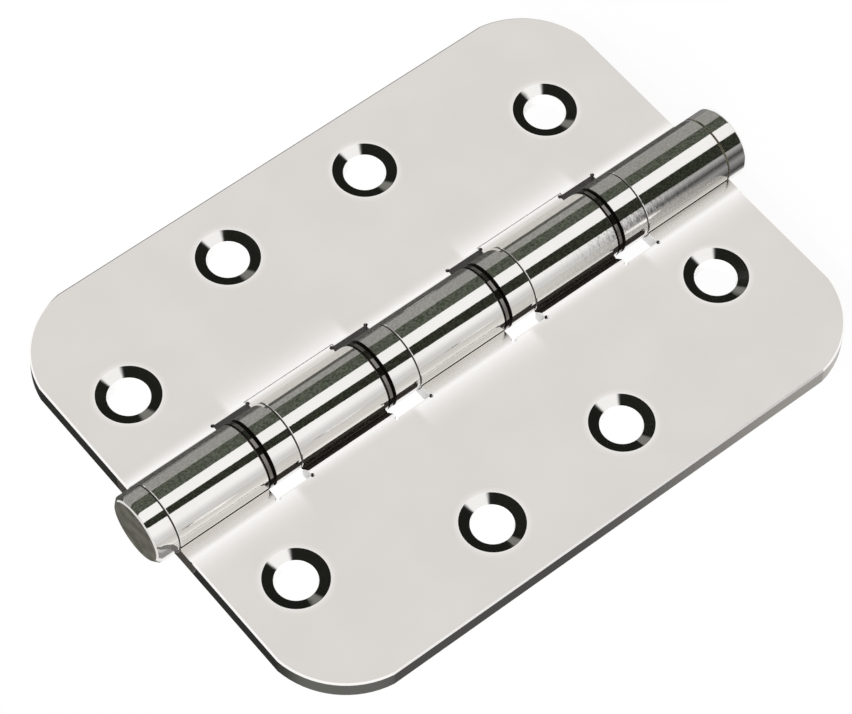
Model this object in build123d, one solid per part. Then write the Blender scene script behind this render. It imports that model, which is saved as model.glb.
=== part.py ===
from build123d import *
from math import cos, radians, sin, sqrt, tan
import os

# Ball bearing hinge, all lengths in mm. Laid open flat, pin upright along Z, screw faces toward -Y.
# The door leaf lies on +X, the frame leaf on -X; the origin is on the pin axis at mid height.

# Leaves
leaf_length = 100.0
leaf_reach = 38.4            # pin axis to outer edge
leaf_thickness = 3.0
face_setback = 1.0           # screw face behind the pin axis: half the gap when shut
corner_run = 11.2            # length of straight edge each outer corner takes
corner_radius = 13.5
edge_break = 0.25            # eased front edge left by the stamping
edge_slope = 45.0

# Screw holes
hole_radius = 3.15
sink_radius = 4.75
sink_angle = 140.0           # full angle of the shallow coined countersink
# Each hole: distance from the pin axis, then height
door_holes = [(18.7, 40.8), (28.5, 15.9), (28.4, -9.0), (20.6, -36.7)]
frame_holes = [(18.8, 40.3), (28.5, 13.7), (27.3, -10.7), (16.9, -37.4)]

# Barrel: five knuckles with a bearing between each pair
knuckle_count = 5
knuckle_radius = 5.4
knuckle_wall = 2.9
knuckle_bevel = 0.35
bearing_length = 5.3
seam_gap = 0.22              # open seam where the rolled knuckle comes back to its leaf
seam_depth = 1.18            # root of the knuckle behind the pin axis, at the seam
root_start = 0.2             # from the barrel, the root runs this far before it bends
root_bend = 2.3              # length of the bend out to the screw face
root_lap = 0.4               # of the root inside the flat of the leaf
back_angle = 38.0            # where the back of the leaf leaves the barrel's curve
back_start = 0.4             # from the barrel, the flat of the back ends this far out

# Cut-outs along each leaf's inner edge
notch_length = 6.1           # at each bearing
notch_gap = 2.0              # from the barrel to the notch
clear_gap = 1.1              # from the barrel to the edge beside the other leaf's knuckles
clear_bevel = 1.4            # depth of the bevel on that edge
clear_running = 0.3          # from the barrel to the foot of the bevel
relief_radius = 0.35         # punched six-sided relief in each corner of a notch
relief_sides = 6

# Bearings: a cup with a cover race turning on it, closed, so solid inside
race_rim = 0.5               # visible height of the cover race
race_gap = 0.6               # open groove between cover race and cup
groove_depth = 0.8

# Pin and end plug
pin_fit = 0.05               # running clearance in the knuckles
bearing_fit = 0.15           # clearance in the bearings
pin_end = 5.0                # lower end of the pin above the foot of the barrel
plug_spigot = 4.8
head_height = 3.45
head_bevel = 0.6

knuckle_length = (leaf_length - (knuckle_count - 1) * bearing_length) / knuckle_count
pitch = knuckle_length + bearing_length
half_length = leaf_length / 2
half_bearing = bearing_length / 2
back_depth = face_setback + leaf_thickness
root_front = knuckle_radius + root_start
root_end = root_front + root_bend
back_end = knuckle_radius + back_start
bevel_depth = face_setback + clear_bevel
bevel_foot = sqrt((knuckle_radius + clear_running) ** 2 - bevel_depth**2)
knuckle_bore = knuckle_radius - knuckle_wall
pin_radius = knuckle_bore - pin_fit
bearing_bore = pin_radius + bearing_fit
knuckle_heights = [half_length - knuckle_length / 2 - pitch * i for i in range(knuckle_count)]
top_bearing = half_length - knuckle_length - half_bearing
bearing_heights = [top_bearing - pitch * i for i in range(knuckle_count - 1)]


def turned(points):
    """A solid turned about the pin axis from (radius, height) points."""
    profile = make_face(Polyline(*[(r, 0, z) for r, z in points], close=True))
    return revolve(profile, Axis.Z)


def knuckle(middle):
    """One rolled knuckle, bored for the pin, with both outer rims bevelled."""
    low = middle - knuckle_length / 2
    high = middle + knuckle_length / 2
    return turned(
        [
            (knuckle_bore, low),
            (knuckle_radius - knuckle_bevel, low),
            (knuckle_radius, low + knuckle_bevel),
            (knuckle_radius, high - knuckle_bevel),
            (knuckle_radius - knuckle_bevel, high),
            (knuckle_bore, high),
        ]
    )


def zone(index):
    """Low and high ends of one knuckle's stretch of leaf, between the notches."""
    high = knuckle_heights[index] + (pitch - notch_length) / 2
    low = knuckle_heights[index] - (pitch - notch_length) / 2
    if index == 0:
        high = half_length
    if index == knuckle_count - 1:
        low = -half_length
    return low, high


def stretch(section, low, high):
    """A stretch of leaf with one section."""
    return Pos(0, 0, low) * extrude(make_face(section), amount=high - low)


def notch_section():
    """Section of the leaf at a notch."""
    near = knuckle_radius + notch_gap
    lap_end = root_end + root_lap
    return Polyline(
        (near, face_setback),
        (lap_end, face_setback),
        (lap_end, back_depth),
        (near, back_depth),
        close=True,
    )


def clear_stretch(low, high):
    """Leaf beside the other leaf's knuckle, bevelled to clear it and eased at the leaf's ends."""
    lap_end = root_end + root_lap
    section = Polyline(
        (knuckle_radius + clear_gap, face_setback),
        (lap_end, face_setback),
        (lap_end, back_depth),
        (bevel_foot, back_depth),
        (bevel_foot, bevel_depth),
        close=True,
    )
    piece = stretch(section, low, high)
    across = piece.edges().filter_by(Axis.X).group_by(Axis.Y)[0]
    ends = [e for e in across if abs(e.center().Z) > half_length - edge_break]
    return chamfer(ends, edge_break) if ends else piece


def plate():
    """The flat of a leaf, with bulged outer corners and an eased front edge."""
    straight_end = half_length - corner_run
    start = leaf_reach - corner_run
    middle = leaf_reach - corner_run / 2
    half_chord = corner_run * sqrt(2) / 2
    bulge = corner_radius - sqrt(corner_radius**2 - half_chord**2)
    out = middle + bulge / sqrt(2)
    up = half_length - corner_run / 2 + bulge / sqrt(2)
    outline = [
        Line((root_end, -half_length), (start, -half_length)),
        ThreePointArc((start, -half_length), (out, -up), (leaf_reach, -straight_end)),
        Line((leaf_reach, -straight_end), (leaf_reach, straight_end)),
        ThreePointArc((leaf_reach, straight_end), (out, up), (start, half_length)),
        Line((start, half_length), (root_end, half_length)),
        Line((root_end, half_length), (root_end, -half_length)),
    ]
    upright = Plane((0, face_setback + edge_break, 0), x_dir=(1, 0, 0), z_dir=(0, -1, 0))
    face = upright * make_face(Curve() + outline)
    return extrude(face, amount=edge_break - leaf_thickness) + extrude(face, amount=edge_break, taper=edge_slope)


def root_section():
    """Section of the bend that joins a knuckle to its leaf, with a crease behind the barrel."""
    lean = radians(back_angle)
    back_x = knuckle_radius * sin(lean)
    back_y = knuckle_radius * cos(lean)
    lap_end = root_end + root_lap
    front_bend = Spline((root_front, seam_depth), (root_end, face_setback), tangents=[(1, 0), (1, 0)])
    back_bend = TangentArc((back_end, back_depth), (back_x, back_y), tangent=(-1, 0))
    return Curve() + [
        Line((back_x, seam_depth), (root_front, seam_depth)),
        front_bend,
        Line((root_end, face_setback), (lap_end, face_setback)),
        Line((lap_end, face_setback), (lap_end, back_depth)),
        Line((lap_end, back_depth), (back_end, back_depth)),
        back_bend,
        Line((back_x, back_y), (back_x, seam_depth)),
    ]


def screw_hole(distance, height):
    """Cutter for one countersunk screw hole."""
    cone_foot = (sink_radius - hole_radius) / tan(radians(sink_angle / 2))
    cutter = turned(
        [
            (0, 0),
            (sink_radius, 0),
            (hole_radius, -cone_foot),
            (hole_radius, -back_depth),
            (0, -back_depth),
        ]
    )
    upright = Plane((distance, face_setback, height), x_dir=(1, 0, 0), z_dir=(0, -1, 0))
    return upright * cutter


def leaf(own, holes):
    """One leaf on the +X side, carrying the knuckles listed in own."""
    body = plate()
    for distance, height in holes:
        body -= screw_hole(distance, height)
    for index in range(knuckle_count):
        low, high = zone(index)
        body += stretch(root_section(), low, high) if index in own else clear_stretch(low, high)
    punch = extrude(RegularPolygon(relief_radius, relief_sides), amount=leaf_thickness / 2, both=True)
    relief = Rot(90, 0, 0) * punch
    for height in bearing_heights:
        low = height - notch_length / 2
        high = height + notch_length / 2
        body += stretch(notch_section(), low, high)
        for corner in (low, high):
            body -= Pos(knuckle_radius + notch_gap, face_setback + leaf_thickness / 2, corner) * relief
    for index in own:
        middle = knuckle_heights[index]
        body += knuckle(middle)
        slit = Box(knuckle_radius, seam_gap, knuckle_length)
        body -= Pos(knuckle_radius / 2 + pin_radius, seam_depth - seam_gap / 2, middle) * slit
    return body - Cylinder(knuckle_bore, leaf_length)


def cup(height):
    """Bearing cup, seated on the knuckle under it, up to the open groove."""
    low = height - half_bearing
    high = height + half_bearing - race_rim - race_gap
    return Pos(0, 0, (low + high) / 2) * (
        Cylinder(knuckle_radius, high - low) - Cylinder(bearing_bore, high - low)
    )


def race(height):
    """Cover race: rim flush with the barrel, undercut to the ring that stands on the cup."""
    top = height + half_bearing
    under_rim = top - race_rim
    foot = under_rim - race_gap
    neck = knuckle_radius - groove_depth
    return turned(
        [
            (bearing_bore, foot),
            (neck, foot),
            (knuckle_radius, under_rim),
            (knuckle_radius, top),
            (bearing_bore, top),
        ]
    )


def button(base, direction):
    """Round end button with a bevelled face."""
    face = base + direction * head_height
    return turned(
        [
            (0, base),
            (knuckle_radius, base),
            (knuckle_radius, face - direction * head_bevel),
            (knuckle_radius - head_bevel, face),
            (0, face),
        ]
    )


def pin():
    """Pin hung from its head on top of the barrel."""
    length = leaf_length - pin_end
    shaft = Pos(0, 0, half_length - length / 2) * Cylinder(pin_radius, length)
    return button(half_length, 1) + shaft


def plug():
    """End plug pressed up into the lowest knuckle."""
    spigot = Pos(0, 0, plug_spigot / 2 - half_length) * Cylinder(knuckle_bore, plug_spigot)
    return button(-half_length, -1) + spigot


parts = {}
parts["frame_leaf"] = Rot(0, 180, 0) * leaf([0, 2, 4], [(d, -h) for d, h in frame_holes])
parts["door_leaf"] = leaf([1, 3], door_holes)
parts["hinge_pin"] = pin()
parts["end_plug"] = plug()
for number, height in enumerate(bearing_heights, start=1):
    parts[f"bearing_cup_{number}"] = cup(height)
    parts[f"bearing_race_{number}"] = race(height)

os.makedirs("parts", exist_ok=True)
for name, shape in parts.items():
    export_step(shape, f"parts/{name}.step")
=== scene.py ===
import math
import bpy
from mathutils import Euler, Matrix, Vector


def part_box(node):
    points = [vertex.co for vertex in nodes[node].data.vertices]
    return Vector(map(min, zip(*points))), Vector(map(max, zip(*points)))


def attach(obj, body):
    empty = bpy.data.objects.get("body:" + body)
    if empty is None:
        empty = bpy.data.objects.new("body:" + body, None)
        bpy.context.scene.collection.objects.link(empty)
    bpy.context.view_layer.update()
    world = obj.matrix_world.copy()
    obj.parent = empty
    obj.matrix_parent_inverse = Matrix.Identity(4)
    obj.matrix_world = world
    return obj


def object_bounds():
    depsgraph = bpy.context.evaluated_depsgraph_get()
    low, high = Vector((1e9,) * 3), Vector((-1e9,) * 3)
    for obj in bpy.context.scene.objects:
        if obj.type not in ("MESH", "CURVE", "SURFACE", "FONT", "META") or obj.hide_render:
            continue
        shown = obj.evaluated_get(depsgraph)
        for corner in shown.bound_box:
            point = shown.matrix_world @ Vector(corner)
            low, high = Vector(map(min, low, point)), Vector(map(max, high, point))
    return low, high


# Looks for a ball bearing hinge: mirror-polished barrel, satin-bright leaves, white studio.
# Lengths are metres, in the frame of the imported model; angles are degrees.
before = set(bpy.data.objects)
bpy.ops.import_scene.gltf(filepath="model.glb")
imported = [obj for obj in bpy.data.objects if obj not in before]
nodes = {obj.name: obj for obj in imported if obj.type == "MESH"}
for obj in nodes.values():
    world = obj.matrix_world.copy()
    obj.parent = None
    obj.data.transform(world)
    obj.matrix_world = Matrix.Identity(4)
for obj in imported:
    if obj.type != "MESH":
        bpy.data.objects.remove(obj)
cad_low, cad_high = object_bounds()
scene = bpy.context.scene
scene.view_settings.view_transform = "Standard"

MM = 0.001
SMOOTH_LIMIT = 16.0
BARREL_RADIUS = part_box("hinge_pin")[1].x
LEAF_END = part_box("frame_leaf")[1].z
KNUCKLES = 5
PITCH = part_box("bearing_cup_1")[0].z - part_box("bearing_cup_2")[0].z

# Camera
CAMERA_LOCATION = (-0.211793, -0.445676, 0.188952)
CAMERA_ANGLES = (-56.07097, 51.06329, -177.53096)
CAMERA_LENS = 157.87
SENSOR_WIDTH = 36.0

# Screw holes: distance from the pin axis, then height, in mm
DOOR_HOLES = [(18.7, 40.8), (28.5, 15.9), (28.4, -9.0), (20.6, -36.7)]
FRAME_HOLES = [(18.8, 40.3), (28.5, 13.7), (27.3, -10.7), (16.9, -37.4)]
# The part of a leaf that has the holes, and the painted highlight ring round each
HOLES_NEAR = 10.0 * MM
HOLES_FAR = 33.5 * MM
HOLES_END = 46.3 * MM
SINK_RIM = 4.76 * MM
HALO_END = 5.9 * MM
HALO_SHARE = 0.7
HALO_FALL = 2.0
NO_HOLE = 1.0                # farther off than any hole

# Where the steel changes, mostly by distance from the pin axis
MASK_BLUR = 0.2 * MM
MIDDLE_BLUR = 1.0 * MM       # between the two leaves' sides
OWN_BEAT = (-0.1, 0.1)       # between a leaf's own knuckles and the other's
FLAT_START = (BARREL_RADIUS + 0.05 * MM, BARREL_RADIUS + 0.3 * MM)
INNER_EDGE = BARREL_RADIUS + 3.8 * MM
# Where the painted highlight runs: along the bend beside a leaf's own knuckles, and along its edge
BEND_START = BARREL_RADIUS + 1.5 * MM
BEND_CREST = BARREL_RADIUS + 2.5 * MM
BEND_FADE = BARREL_RADIUS + 8.6 * MM
BEND_FALL = 3.0
EDGE_CREST = BARREL_RADIUS + 1.6 * MM
EDGE_FADE = BARREL_RADIUS + 3.6 * MM
EDGE_FALL = 2.0
STEP_OUT = BARREL_RADIUS + 2.25 * MM
STEP_BACK = 1.25 * MM        # behind the pin axis
STEP_BLUR = 0.05 * MM
# How far from the pin axis each leaf's edge beside the other leaf's knuckles is painted dark as
# shade
DOOR_SHADE_REACH = BARREL_RADIUS + 1.35 * MM
FRAME_SHADE_REACH = BARREL_RADIUS + 0.9 * MM
GROOVE_TOP = BARREL_RADIUS - 0.04 * MM
GROOVE_FOOT = BARREL_RADIUS - 0.11 * MM
FOOT_PLAIN = (0.4 * MM - LEAF_END, 0.6 * MM - LEAF_END)  # heights: no dark groove below
# Heights where the painted shade on the leaves' outer edges turns from dark to light
SIDE_DARK_END = 12.0 * MM    # heights along the leaves' outer edges
SIDE_LIGHT_END = -45.0 * MM
RIM_LINE = BARREL_RADIUS - 0.38 * MM
RIM_BLUR = 0.05 * MM
RACE_SHADE_SHARE = 0.85             # share of painted shade on the cover races' rims

# Which way a surface faces: by how far its normal runs square to the leaves or along the pin
SUNK_SQUARE = (0.985, 0.96)
WALL_SQUARE = (0.5, 0.3)
RIM_SQUARE = (0.35, 0.1)
RECESS_SQUARE = (0.92, 0.8)
EASED_SQUARE = (0.9, 0.8)
STEEP_SQUARE = (0.5, 0.6)
LEVEL_ALONG = (0.9, 0.7)
ARRIS_ALONG = (0.5, 0.6)
CAP_RIM_ALONG = (0.4, 0.6)
CAP_FACE_ALONG = (0.85, 0.97)

# Steel colours
SATIN_DULL = (0.698, 0.667, 0.637, 1.0)
SATIN_BRIGHT = (0.728, 0.698, 0.668, 1.0)
# Painted highlight, on bend crests, leaf edges, countersink rings and arrises
CREST_HIGHLIGHT = (0.965, 0.95, 0.93, 1.0)
MIRROR_DULL = (0.86, 0.845, 0.82, 1.0)
MIRROR_BRIGHT = (0.91, 0.895, 0.87, 1.0)
# White painted on walls to stand in for bright light on them
WALL_PAINTED_LIT = (0.95, 0.945, 0.94, 1.0)
# Painted shade on the leaves' outer edges, dark toward the top and light toward the foot, darker
# still on the end faces
SIDE_LIGHT = (0.80, 0.76, 0.70, 1.0)
SIDE_DARK = (0.085, 0.08, 0.074, 1.0)
END_EDGE = (0.10, 0.10, 0.085, 1.0)
# Painted shade in the leaves' recesses, beside the other leaf's knuckles and in the grooves
CREVICE_SHADE = (0.042, 0.035, 0.029, 1.0)
# Painted shade in the bearings' grooves and on the cover races
JOINT_SHADE = (0.11, 0.10, 0.085, 1.0)
CAP_DULL = (0.27, 0.265, 0.215, 1.0)
CAP_BRIGHT = (0.47, 0.455, 0.39, 1.0)
CAP_RIM = (0.75, 0.74, 0.72, 1.0)

# Polish, as shader roughness, and the strength of the waves left by the polishing wheel
MIRROR_ROUGH = 0.05
SATIN_ROUGH = 0.16
WALL_ROUGH = 0.5
EDGE_ROUGH = 0.36
CREVICE_SHADE_ROUGH = 0.45
CAP_ROUGH = 0.45
GRAIN_ROUGH = 0.04
RIPPLE = 0.03
FLAT_RIPPLE = 0.01
WAVE_DEPTH = 0.2 * MM

# Noise: scale and detail, then the limits between which a colour changes with it
GRAIN_NOISE = (2600.0, 2.0)
WAVE_NOISE = (1400.0, 3.0)
CLOUD_NOISE = (90.0, 3.0)
CLOUD_RANGE = (0.2, 0.8)
SAWN_NOISE = (500.0, 5.0)
SAWN_RANGE = (0.3, 0.7)
GAP_ROD_NOISE = (900.0, 4.0)
CARD_NOISE = (2400.0, 4.0)
PATCH_RANGE = (0.35, 0.65)

# Painted shade in the running gap between a knuckle and the other leaf's edge: a thin dark rod, by
# its angle from +Y
GAP_ROD_ANGLE = 64.8
GAP_ROD_REACH = BARREL_RADIUS + 0.145 * MM
GAP_ROD_DEEP = 0.165 * MM
GAP_ROD_WIDE = 0.24 * MM
GAP_ROD_SIDES = 10
GAP_ROD_MARGIN = 0.4 * MM
GAP_ROD_DARK = (0.022, 0.018, 0.013, 1.0)
GAP_ROD_LIGHT = (0.045, 0.037, 0.028, 1.0)
GAP_ROD_ROUGH = (0.3, 0.6)

# Studio: what polished metal sees, by compass angle round the pin from -Y toward +X
WHITE = (1.0, 1.0, 1.0, 1.0)
BLACK = (0.012, 0.013, 0.010, 1.0)
PATCH_GREY = (0.20, 0.20, 0.185, 1.0)
# Brightness at each angle, as listed. Low down near the pin's head: white behind, a grey and
# then a pale side wall, a white softbox in front and a dark flag
LOW_BANDS = [
    (-180, 1.0), (-172, 1.0), (-165, 0.3), (-140, 0.3), (-120, 0.7), (-85, 0.7),
    (-65, 1.0), (90, 1.0), (96, 0.1), (160, 0.1), (168, 1.0), (180, 1.0),
]
# Low down toward its foot: the side wall dark but for two glows, and a dim flag
FAR_BANDS = [
    (-180, 1.0), (-172, 1.0), (-165, 0.3), (-145, 0.05), (-110, 0.3), (-90, 0.05),
    (-70, 0.4), (-50, 0.1), (-22, 1.0), (90, 1.0), (96, 0.25), (160, 0.2), (168, 1.0), (180, 1.0),
]
# Higher up: white but for one dark flag
HIGH_BANDS = [(-180, 1.0), (128, 1.0), (138, 0.06), (170, 0.06), (178, 1.0), (180, 1.0)]
# Heights at which the bands change, and where the room is white above and below them
LOW_TOP = (-0.22, -0.10)
FAR_TOP = (-0.414, -0.404)
ROOM_TOP = (0.75, 0.9)
ROOM_FOOT = (-0.5, -0.65)

# Dark flag round the softbox that lights the leaves; only the countersinks are steep enough
# to show it
BOX_ANGLE = 25.0
BOX_LIFT = -20.0
FLAG_INNER = (24.0, 28.0)
FLAG_OUTER = (56.0, 50.0)
FLAG_WINDOW = (28.0, 19.0)
FLAG_PATCH = (13.0, 6.0)

# Cards close to the barrel, seen only in its reflections
CARD_REACH = 8.0 * MM
EDGE_REACH = 6.0 * MM
CARD_SIGHT = 6.0 * MM
CARD_PARTS = 8
FIRST_BOUNCE = 1.5
# Along the whole barrel: angles at the head, angles at the foot, dark and light tone
CARDS = {
    "dark_card": (
        (-32.2, -19.8), (-53.4, -27.2), ((0.018, 0.020, 0.014, 1.0), (0.042, 0.047, 0.034, 1.0))
    ),
    "green_card": (
        (0.5, 28.0), (-2.0, 20.8), ((0.050, 0.060, 0.042, 1.0), (0.125, 0.135, 0.108, 1.0))
    ),
    "grey_card": (
        (28.0, 58.0), (20.8, 58.0), ((0.27, 0.27, 0.255, 1.0), (0.37, 0.37, 0.355, 1.0))
    ),
}
# Beside single knuckles: angles, then dark and light tone
GAP_CARD = ((-108.0, -93.0), ((0.028, 0.024, 0.020, 1.0), (0.045, 0.038, 0.032, 1.0)))
EDGE_CARD = ((48.0, 90.0), ((0.065, 0.066, 0.058, 1.0), (0.14, 0.14, 0.13, 1.0)))
LINE_CARD = ((29.5, 37.5), ((0.09, 0.09, 0.08, 1.0), (0.14, 0.14, 0.13, 1.0)))
ROOT_CARD = ((37.5, 90.0), ((0.60, 0.58, 0.55, 1.0), (0.68, 0.66, 0.63, 1.0)))

# Floor and lamp
FLOOR_HALF = 4.0
FLOOR_PAINT = (0.93, 0.93, 0.93, 1.0)
FLOOR_GLOW = 0.9             # share of plain white in what the camera sees of it
LAMP_SIZE = 0.7
LAMP_ENERGY = 4.0
LAMP_LOCATION = (-0.35, -0.55, 0.75)


# Shader nodes

def node_maker(tree):
    """Shorthand to add a node with its inputs set or linked."""

    def add(kind, inputs=None, **settings):
        node = tree.nodes.new(kind)
        for key, value in settings.items():
            setattr(node, key, value)
        for key, value in (inputs or {}).items():
            if isinstance(value, bpy.types.NodeSocket):
                tree.links.new(value, node.inputs[key])
            else:
                node.inputs[key].default_value = value
        return node

    return add


def new_tree(owner):
    """Shorthand for the emptied node tree of a material or world."""
    owner.use_nodes = True
    owner.node_tree.nodes.clear()
    return node_maker(owner.node_tree)


def new_material(name):
    """A new material and the shorthand for its empty node tree."""
    material = bpy.data.materials.new(name)
    return material, new_tree(material)


def fade(add, value, start, end, top=1.0):
    """Straight fade of a value from 0 at one limit to the top at the other."""
    return add("ShaderNodeMapRange", {0: value, 1: start, 2: end, 4: top}).outputs[0]


def steps(add, value, start, end):
    """Smooth step of a value from 0 at one limit to 1 at the other."""
    inputs = {0: value, 1: start, 2: end}
    return add("ShaderNodeMapRange", inputs, interpolation_type="SMOOTHSTEP").outputs[0]


def math_node(add, operation, first, second=0.0):
    return add("ShaderNodeMath", {0: first, 1: second}, operation=operation).outputs[0]


def vector_node(add, operation, first, second=(0.0, 0.0, 0.0)):
    return add("ShaderNodeVectorMath", {0: first, 1: second}, operation=operation).outputs


def in_turn(add, operation, values):
    """One operation over several values, from the first to the last."""
    total = values[0]
    for value in values[1:]:
        total = math_node(add, operation, total, value)
    return total


def product(add, *factors):
    return in_turn(add, "MULTIPLY", factors)


def maximum(add, *values):
    return in_turn(add, "MAXIMUM", values)


def inverse(add, value):
    return math_node(add, "SUBTRACT", 1.0, value)


def mix_colour(add, factor, first, second):
    inputs = {"Factor": factor, 6: first, 7: second}
    return add("ShaderNodeMix", inputs, data_type="RGBA").outputs[2]


def mix_value(add, factor, first, second):
    return add("ShaderNodeMix", {"Factor": factor, 2: first, 3: second}).outputs[0]


def noise(add, place, scale, detail):
    inputs = {"Vector": place, "Scale": scale, "Detail": detail}
    return add("ShaderNodeTexNoise", inputs).outputs[0]


def surface(add):
    """Sockets for where a point lies on the part and which way it faces."""
    where = add("ShaderNodeTexCoord")
    place = where.outputs["Object"]
    axes = add("ShaderNodeSeparateXYZ", {0: place}).outputs
    facing = add("ShaderNodeSeparateXYZ", {0: where.outputs["Normal"]}).outputs
    radial = vector_node(add, "MULTIPLY", place, (1.0, 1.0, 0.0))[0]
    return {
        "place": place,
        "radial": radial,
        "radius": vector_node(add, "LENGTH", radial)["Value"],
        "across": axes["X"],
        "depth": axes["Y"],
        "height": axes["Z"],
        "out": math_node(add, "ABSOLUTE", axes["X"]),
        "up": math_node(add, "ABSOLUTE", axes["Z"]),
        "square": math_node(add, "ABSOLUTE", facing["Y"]),
        "along": math_node(add, "ABSOLUTE", facing["Z"]),
        "front": math_node(add, "LESS_THAN", facing["Y"], 0.0),
    }


# Steels

def finish_steel(add, spot, colour, polish, ripple, metallic=1.0, normal=None):
    """Steel with a grainy polish and the faint waves left by the polishing wheel."""
    grain = noise(add, spot["place"], *GRAIN_NOISE)
    rough = add("ShaderNodeMath", {0: grain, 1: GRAIN_ROUGH, 2: polish}, operation="MULTIPLY_ADD")
    wave = noise(add, spot["place"], *WAVE_NOISE)
    relief = {"Strength": ripple, "Distance": WAVE_DEPTH, "Height": wave}
    if normal is not None:
        relief["Normal"] = normal
    inputs = {
        "Base Color": colour,
        "Metallic": metallic,
        "Roughness": rough.outputs[0],
        "Normal": add("ShaderNodeBump", relief).outputs[0],
    }
    shader = add("ShaderNodeBsdfPrincipled", inputs)
    add("ShaderNodeOutputMaterial", {"Surface": shader.outputs[0]})


def cloudy(add, spot, dull, bright):
    """Colour that drifts between two tones."""
    cloud = noise(add, spot["place"], *CLOUD_NOISE)
    return mix_colour(add, steps(add, cloud, *CLOUD_RANGE), dull, bright)


def mirror_colour(add, spot):
    return cloudy(add, spot, MIRROR_DULL, MIRROR_BRIGHT)


def groove_shade_share(add, spot):
    """Share of the barrel's grooves, painted dark as shade."""
    return steps(add, spot["radius"], GROOVE_TOP, GROOVE_FOOT)


def crest_highlight_share(add, spot, own):
    """Share of the painted highlight line on a leaf.

    It lies at the end of the bend beside the leaf's own knuckles, else at the leaf's edge.
    """
    bend = steps(add, spot["radius"], BEND_START, BEND_CREST)
    far = fade(add, spot["radius"], BEND_FADE, BEND_CREST)
    bend = product(add, bend, math_node(add, "POWER", far, BEND_FALL))
    near = fade(add, spot["radius"], EDGE_FADE, EDGE_CREST)
    return mix_value(add, own, math_node(add, "POWER", near, EDGE_FALL), bend)


def hole_halo(add, spot, side, holes):
    """Share of the painted highlight ring round each countersink, where the metal is pressed up.
    """
    level = vector_node(add, "MULTIPLY", spot["place"], (1.0, 0.0, 1.0))[0]
    nearest = NO_HOLE
    for distance, height in holes:
        centre = (side * distance * MM, 0.0, height * MM)
        gap = vector_node(add, "DISTANCE", level, centre)["Value"]
        nearest = math_node(add, "MINIMUM", gap, nearest)
    ring = fade(add, nearest, HALO_END, SINK_RIM, HALO_SHARE)
    return math_node(add, "POWER", ring, HALO_FALL)


def leaf_shares(add, spot, side, shade_reach):
    """Shares of a leaf's different surfaces.

    The leaf reaches out to the side given, and its knuckles take every other pitch. Its edge
    beside the other leaf's knuckles is painted dark as shade out to the reach given.
    """
    turn = product(add, spot["height"], math.pi / PITCH)
    beat = product(add, math_node(add, "COSINE", turn), -side)
    own = steps(add, beat, *OWN_BEAT)
    opposite = steps(add, spot["across"], side * MIDDLE_BLUR, -side * MIDDLE_BLUR)
    flat = steps(add, spot["radius"], *FLAT_START)
    beside = steps(add, spot["radius"], INNER_EDGE, INNER_EDGE - MASK_BLUR)
    away = inverse(add, beside)
    among = product(
        add,
        steps(add, spot["out"], HOLES_FAR + MASK_BLUR, HOLES_FAR),
        steps(add, spot["out"], HOLES_NEAR - MASK_BLUR, HOLES_NEAR),
        steps(add, spot["up"], HOLES_END + MASK_BLUR, HOLES_END),
    )
    clear = inverse(add, among)
    level = steps(add, spot["along"], *LEVEL_ALONG)
    end = steps(add, spot["up"], LEAF_END - MASK_BLUR, LEAF_END)
    upright = steps(add, spot["square"], *WALL_SQUARE)

    sunk = product(add, among, steps(add, spot["square"], *SUNK_SQUARE))
    rim = product(add, away, clear, steps(add, spot["square"], *RIM_SQUARE))
    # Painted highlight along the eased arrises
    arris_highlight = product(
        add,
        flat,
        clear,
        steps(add, spot["square"], *EASED_SQUARE),
        steps(add, spot["square"], *STEEP_SQUARE),
        maximum(add, away, steps(add, spot["along"], *ARRIS_ALONG)),
    )

    # Walls of the screw holes, of the step in the bend and, on the frame leaf, of the notches:
    # painted white, in a pale non-metal, as if brightly lit
    bend_step = product(
        add,
        steps(add, spot["out"], STEP_OUT - MASK_BLUR, STEP_OUT),
        steps(add, spot["depth"], STEP_BACK, STEP_BACK - STEP_BLUR),
        upright,
        beside,
        level,
    )
    painted_lit = maximum(add, product(add, among, upright), bend_step)
    if side < 0:
        notch_wall = product(add, flat, beside, inverse(add, level), inverse(add, end))
        painted_lit = maximum(add, painted_lit, notch_wall)

    # Painted shade in the recesses near the barrel, on the edge beside the other leaf's knuckles
    # and in the knuckles' grooves
    recess_shade = product(
        add,
        flat,
        beside,
        steps(add, spot["square"], *RECESS_SQUARE),
        maximum(add, level, end),
    )
    lip_shade = product(
        add,
        flat,
        inverse(add, own),
        steps(add, spot["radius"], shade_reach, shade_reach - MASK_BLUR),
        inverse(add, opposite),
    )
    above_foot = steps(add, spot["height"], *FOOT_PLAIN)
    groove_shade = product(add, groove_shade_share(add, spot), above_foot, inverse(add, flat))
    painted_shade = maximum(add, recess_shade, lip_shade, groove_shade)
    return {
        "own": own,
        "flat": flat,
        "satin": product(add, flat, inverse(add, sunk)),
        "rim": rim,
        "arris_highlight": arris_highlight,
        "painted_lit": painted_lit,
        "painted_shade": product(add, painted_shade, inverse(add, painted_lit), inverse(add, arris_highlight)),
    }


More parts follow.
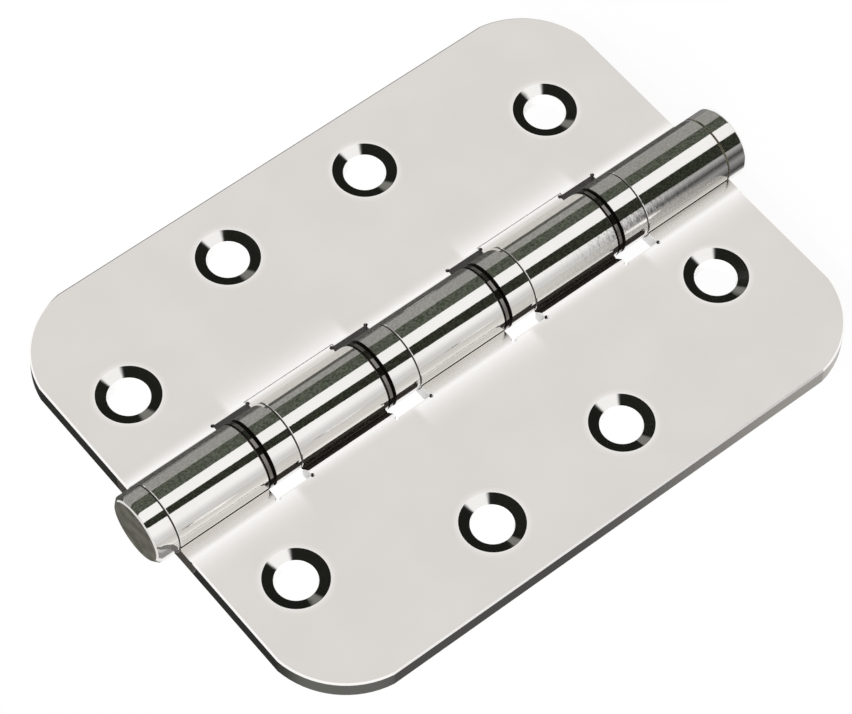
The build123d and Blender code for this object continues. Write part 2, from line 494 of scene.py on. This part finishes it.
def steel_leaf(name, side, shade_reach, holes):
    """Mirror barrel and countersinks, satin-bright flats and duller sheared edges in one steel,
    with painted highlights, painted shade and walls painted white as if lit.
    """
    material, add = new_material(name)
    spot = surface(add)
    share = leaf_shares(add, spot, side, shade_reach)

    # Painted highlight along the bend or the edge and round each countersink, on the front faces
    # only
    highlight = maximum(add, crest_highlight_share(add, spot, share["own"]), hole_halo(add, spot, side, holes))
    satin = cloudy(add, spot, SATIN_DULL, SATIN_BRIGHT)
    satin = mix_colour(add, product(add, highlight, spot["front"]), satin, CREST_HIGHLIGHT)
    # Painted shade on the outer edges: darker toward the top, lighter toward the foot, dark on the
    # end faces
    lower = steps(add, spot["height"], SIDE_DARK_END, SIDE_LIGHT_END)
    edge_shade = mix_colour(add, lower, SIDE_DARK, SIDE_LIGHT)
    edge_shade = mix_colour(add, spot["along"], edge_shade, END_EDGE)

    tint = mix_colour(add, share["satin"], mirror_colour(add, spot), satin)
    tint = mix_colour(add, share["arris_highlight"], tint, CREST_HIGHLIGHT)
    tint = mix_colour(add, share["painted_lit"], tint, WALL_PAINTED_LIT)
    tint = mix_colour(add, share["rim"], tint, edge_shade)
    tint = mix_colour(add, share["painted_shade"], tint, CREVICE_SHADE)

    polish = mix_value(add, share["satin"], MIRROR_ROUGH, SATIN_ROUGH)
    polish = mix_value(add, share["painted_lit"], polish, WALL_ROUGH)
    polish = mix_value(add, share["rim"], polish, EDGE_ROUGH)
    polish = mix_value(add, share["painted_shade"], polish, CREVICE_SHADE_ROUGH)

    ripple = mix_value(add, share["flat"], RIPPLE, FLAT_RIPPLE)
    # The walls painted white as if lit, and the painted shade, are a non-metal
    metallic = inverse(add, maximum(add, share["painted_lit"], share["painted_shade"]))
    finish_steel(add, spot, tint, polish, ripple, metallic)
    return material


def steel_bearing(name, shade_share):
    """Mirror-bright turned steel with painted shade in its grooves, its rim darkened with painted
    shade by the share given.
    """
    material, add = new_material(name)
    spot = surface(add)
    painted_shade = groove_shade_share(add, spot)
    rim = mix_colour(add, shade_share, mirror_colour(add, spot), JOINT_SHADE)
    tint = mix_colour(add, painted_shade, rim, JOINT_SHADE)
    polish = mix_value(add, painted_shade, MIRROR_ROUGH, CREVICE_SHADE_ROUGH)
    finish_steel(add, spot, tint, polish, RIPPLE)
    return material


def steel_pin():
    """Mirror-bright turned steel with a dull sawn face on each end, its bevel shaded round."""
    material, add = new_material("pin_steel")
    spot = surface(add)
    rim = steps(add, spot["along"], *CAP_RIM_ALONG)
    face = steps(add, spot["along"], *CAP_FACE_ALONG)
    blot = noise(add, spot["place"], *SAWN_NOISE)
    sawn = mix_colour(add, steps(add, blot, *SAWN_RANGE), CAP_DULL, CAP_BRIGHT)
    line = product(add, rim, steps(add, spot["radius"], RIM_LINE, RIM_LINE - RIM_BLUR))
    tint = mix_colour(add, line, mirror_colour(add, spot), CAP_RIM)
    tint = mix_colour(add, face, tint, sawn)
    polish = mix_value(add, face, MIRROR_ROUGH, CAP_ROUGH)

    outer = steps(add, spot["radius"], RIM_LINE - RIM_BLUR, RIM_LINE)
    rounded = product(add, rim, inverse(add, face), outer)
    sideways = add(
        "ShaderNodeVectorTransform",
        {0: spot["radial"]},
        vector_type="NORMAL",
        convert_from="OBJECT",
        convert_to="WORLD",
    ).outputs[0]
    facing = add("ShaderNodeNewGeometry").outputs["Normal"]
    inputs = {0: rounded, 4: facing, 5: sideways}
    blend = add("ShaderNodeMix", inputs, data_type="VECTOR").outputs[1]
    normal = vector_node(add, "NORMALIZE", blend)[0]
    finish_steel(add, spot, tint, polish, RIPPLE, normal=normal)
    return material


# Dark rods of painted shade in the running gaps

def new_object(name, points, faces, material):
    """A new mesh object in the scene."""
    mesh = bpy.data.meshes.new(name)
    mesh.from_pydata(points, [], faces)
    mesh.materials.append(material)
    piece = bpy.data.objects.new(name, mesh)
    scene.collection.objects.link(piece)
    return piece


def gap_shade_material():
    """Dark material for the painted shade in the gaps, glossy in patches."""
    material, add = new_material("gap_shade")
    place = add("ShaderNodeTexCoord").outputs["Object"]
    patch = steps(add, noise(add, place, *GAP_ROD_NOISE), *PATCH_RANGE)
    inputs = {
        "Base Color": mix_colour(add, patch, GAP_ROD_DARK, GAP_ROD_LIGHT),
        "Roughness": mix_value(add, patch, *GAP_ROD_ROUGH),
    }
    shader = add("ShaderNodeBsdfPrincipled", inputs)
    add("ShaderNodeOutputMaterial", {"Surface": shader.outputs[0]})
    return material


def knuckle_span(number):
    """Lower and upper end of one knuckle, counted from the pin's head."""
    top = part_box(f"bearing_cup_{number - 1}")[0].z if number > 1 else LEAF_END
    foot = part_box(f"bearing_race_{number}")[1].z if number < KNUCKLES else -LEAF_END
    return foot, top


def gap_shade_rod(number, material):
    """Dark rod of painted shade beside one knuckle, carried by the leaf whose edge runs past it.
    """
    body, side = ("door_side", 1.0) if number % 2 else ("frame_side", -1.0)
    foot, top = knuckle_span(number)
    turn = math.radians(GAP_ROD_ANGLE)
    outward = Vector((side * math.sin(turn), math.cos(turn)))
    along = Vector((side * math.cos(turn), -math.sin(turn)))
    ring = range(GAP_ROD_SIDES)
    section = []
    for i in ring:
        step = 2 * math.pi * i / GAP_ROD_SIDES
        reach = GAP_ROD_REACH + GAP_ROD_DEEP * math.cos(step)
        section.append(outward * reach + along * GAP_ROD_WIDE * math.sin(step))
    ends = (foot + GAP_ROD_MARGIN, top - GAP_ROD_MARGIN)
    points = [(spot.x, spot.y, z) for z in ends for spot in section]
    faces = []
    for i in ring:
        after = (i + 1) % GAP_ROD_SIDES
        faces.append((i, after, GAP_ROD_SIDES + after, GAP_ROD_SIDES + i))
    faces += [tuple(reversed(ring)), tuple(GAP_ROD_SIDES + i for i in ring)]
    if side < 0:
        faces = [tuple(reversed(face)) for face in faces]
    piece = new_object(f"grease_{number}", points, faces, material)
    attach(piece, body)


# Studio

def band_ramp(add, angle, bands):
    """Grey ramp over the full turn from (degrees, brightness) stops."""
    ramp = add("ShaderNodeValToRGB", {0: angle})
    stops = ramp.color_ramp.elements
    while len(stops) < len(bands):
        stops.new(0.5)
    for stop, (degrees, level) in zip(stops, bands):
        stop.position = (degrees + 180) / 360
        stop.color = (level, level, level, 1.0)
    return ramp.outputs[0]


def flagged(add, toward, room):
    """The room with the dark flag round the softbox, open toward the barrel's bright side."""
    turn = math.radians(BOX_ANGLE)
    lift = math.radians(BOX_LIFT)
    middle = (math.cos(lift) * math.sin(turn), -math.cos(lift) * math.cos(turn), math.sin(lift))
    side = (math.cos(turn), math.sin(turn), 0.0)
    rise = (-math.sin(lift) * math.sin(turn), math.sin(lift) * math.cos(turn), math.cos(lift))

    def part(axis):
        return vector_node(add, "DOT_PRODUCT", toward, axis)["Value"]

    def within(limits):
        return steps(add, part(middle), *[math.cos(math.radians(limit)) for limit in limits])

    def round_from(sideways, limits):
        turned = math_node(add, "ABSOLUTE", math_node(add, "ARCTAN2", part(rise), sideways))
        return steps(add, turned, *[math.radians(limit) for limit in limits])

    across = part(side)
    window = round_from(product(add, across, -1.0), FLAG_WINDOW)
    ring = product(add, within(FLAG_INNER), within(FLAG_OUTER), inverse(add, window))
    flag = mix_colour(add, round_from(across, FLAG_PATCH), BLACK, PATCH_GREY)
    return mix_colour(add, ring, room, flag)


def studio_world():
    """White room; polished metal also sees softboxes and dark flags round the pin."""
    world = bpy.data.worlds.new("studio")
    scene.world = world
    add = new_tree(world)
    toward = add("ShaderNodeTexCoord").outputs["Generated"]
    direction = add("ShaderNodeSeparateXYZ", {0: toward}).outputs
    height = direction["Z"]
    turn = math_node(add, "ARCTAN2", direction["X"], product(add, direction["Y"], -1.0))
    angle = fade(add, turn, -math.pi, math.pi)
    low = band_ramp(add, angle, LOW_BANDS)
    far = band_ramp(add, angle, FAR_BANDS)
    high = band_ramp(add, angle, HIGH_BANDS)
    room = mix_colour(add, steps(add, height, *FAR_TOP), far, low)
    room = mix_colour(add, steps(add, height, *LOW_TOP), room, high)
    room = mix_colour(add, steps(add, height, *ROOM_TOP), room, WHITE)
    room = mix_colour(add, steps(add, height, *ROOM_FOOT), room, WHITE)
    room = flagged(add, toward, room)
    glossy = add("ShaderNodeLightPath").outputs["Is Glossy Ray"]
    background = add("ShaderNodeBackground", {"Color": mix_colour(add, glossy, WHITE, room)})
    add("ShaderNodeOutputWorld", {"Surface": background.outputs[0]})


def card_material(name, dark, light):
    """Mottled card that is there only for a first reflection from close by."""
    material, add = new_material(name)
    place = add("ShaderNodeTexCoord").outputs["Object"]
    mottle = steps(add, noise(add, place, *CARD_NOISE), *PATCH_RANGE)
    glow = add("ShaderNodeEmission", {"Color": mix_colour(add, mottle, dark, light)})
    clear = add("ShaderNodeBsdfTransparent")
    path = add("ShaderNodeLightPath").outputs
    near = math_node(add, "LESS_THAN", path["Ray Length"], CARD_SIGHT)
    first = math_node(add, "LESS_THAN", path["Glossy Depth"], FIRST_BOUNCE)
    inputs = {0: product(add, near, first), 1: clear.outputs[0], 2: glow.outputs[0]}
    mix = add("ShaderNodeMixShader", inputs)
    add("ShaderNodeOutputMaterial", {"Surface": mix.outputs[0]})
    return material


def near_card(name, reach, heights, head, foot, tones):
    """Curved card close to the barrel, seen only in its reflections."""
    points = []
    for (start, end), z in zip((foot, head), heights):
        for i in range(CARD_PARTS + 1):
            turn = math.radians(start + (end - start) * i / CARD_PARTS)
            points.append((reach * math.sin(turn), -reach * math.cos(turn), z))
    row = CARD_PARTS + 1
    faces = [(i, i + 1, row + i + 1, row + i) for i in range(CARD_PARTS)]
    card = new_object(name, points, faces, card_material(name, *tones))
    card.visible_camera = False
    card.visible_shadow = False
    card.visible_diffuse = False


def edge_card(name, heights, angles, tones):
    """Card beside one knuckle, as wide at its head as at its foot."""
    near_card(name, EDGE_REACH, heights, angles, angles, tones)


def studio_cards():
    """Cards along the whole barrel, and those beside the door leaf's knuckles and between them."""
    whole = (cad_low.z - CARD_REACH, cad_high.z + CARD_REACH)
    for name, (head, foot, tones) in CARDS.items():
        near_card(name, CARD_REACH, whole, head, foot, tones)
    below = cad_high.z
    for number in range(2, KNUCKLES, 2):
        foot, top = knuckle_span(number)
        gap = (knuckle_span(number + 1)[1], knuckle_span(number - 1)[0])
        edge_card(f"gap_card_{number}", gap, *GAP_CARD)
        edge_card(f"edge_card_{number}", (top, below), *EDGE_CARD)
        edge_card(f"line_card_{number}", (foot, top), *LINE_CARD)
        edge_card(f"root_card_{number}", (foot, top), *ROOT_CARD)
        below = foot
    edge_card("edge_card_last", (-LEAF_END, below), *EDGE_CARD)


def studio_floor():
    """Pale floor under the lower end of the barrel, white to the camera but for a faint shadow."""
    material, add = new_material("pale_floor")
    paint = add("ShaderNodeBsdfDiffuse", {"Color": FLOOR_PAINT})
    glow = add("ShaderNodeEmission")
    share = product(add, add("ShaderNodeLightPath").outputs["Is Camera Ray"], FLOOR_GLOW)
    mix = add("ShaderNodeMixShader", {0: share, 1: paint.outputs[0], 2: glow.outputs[0]})
    add("ShaderNodeOutputMaterial", {"Surface": mix.outputs[0]})
    corners = [(-1, -1), (1, -1), (1, 1), (-1, 1)]
    points = [(x * FLOOR_HALF, y * FLOOR_HALF, cad_low.z) for x, y in corners]
    floor = new_object("floor", points, [(0, 1, 2, 3)], material)
    floor.visible_glossy = False


def soft_lamp():
    """Key lamp aimed at the hinge, which its steel doesn't reflect."""
    light = bpy.data.lights.new("key", "AREA")
    light.size = LAMP_SIZE
    light.energy = LAMP_ENERGY
    lamp = bpy.data.objects.new("key", light)
    lamp.location = LAMP_LOCATION
    lamp.rotation_mode = "QUATERNION"
    lamp.rotation_quaternion = (-Vector(LAMP_LOCATION)).to_track_quat("-Z", "Y")
    lamp.visible_glossy = False
    scene.collection.objects.link(lamp)


def photo_camera():
    """Camera at the photograph's viewpoint."""
    camera = bpy.data.cameras.new("camera")
    camera.sensor_width = SENSOR_WIDTH
    camera.lens = CAMERA_LENS
    eye = bpy.data.objects.new("camera", camera)
    eye.location = CAMERA_LOCATION
    eye.rotation_euler = Euler([math.radians(angle) for angle in CAMERA_ANGLES], "XYZ")
    scene.collection.objects.link(eye)
    scene.camera = eye


# The hinge: finishes for the imported pieces by name without its number, then the dark rods of
# painted shade in the gaps
finishes = {
    "frame_leaf": steel_leaf("polished_frame_leaf", -1.0, FRAME_SHADE_REACH, FRAME_HOLES),
    "door_leaf": steel_leaf("polished_door_leaf", 1.0, DOOR_SHADE_REACH, DOOR_HOLES),
    "hinge_pin": steel_pin(),
    "bearing_cup": steel_bearing("bearing_steel", 0.0),
    "bearing_race": steel_bearing("race_steel", RACE_SHADE_SHARE),
}
finishes["end_plug"] = finishes["hinge_pin"]
for name, node in nodes.items():
    node.data.materials.clear()
    node.data.materials.append(finishes[name.rstrip("_1234")])
    for polygon in node.data.polygons:
        polygon.use_smooth = True
    node.data.set_sharp_from_angle(angle=math.radians(SMOOTH_LIMIT))
gap_shade = gap_shade_material()
for number in range(1, KNUCKLES + 1):
    gap_shade_rod(number, gap_shade)

studio_world()
studio_floor()
studio_cards()
soft_lamp()
photo_camera()
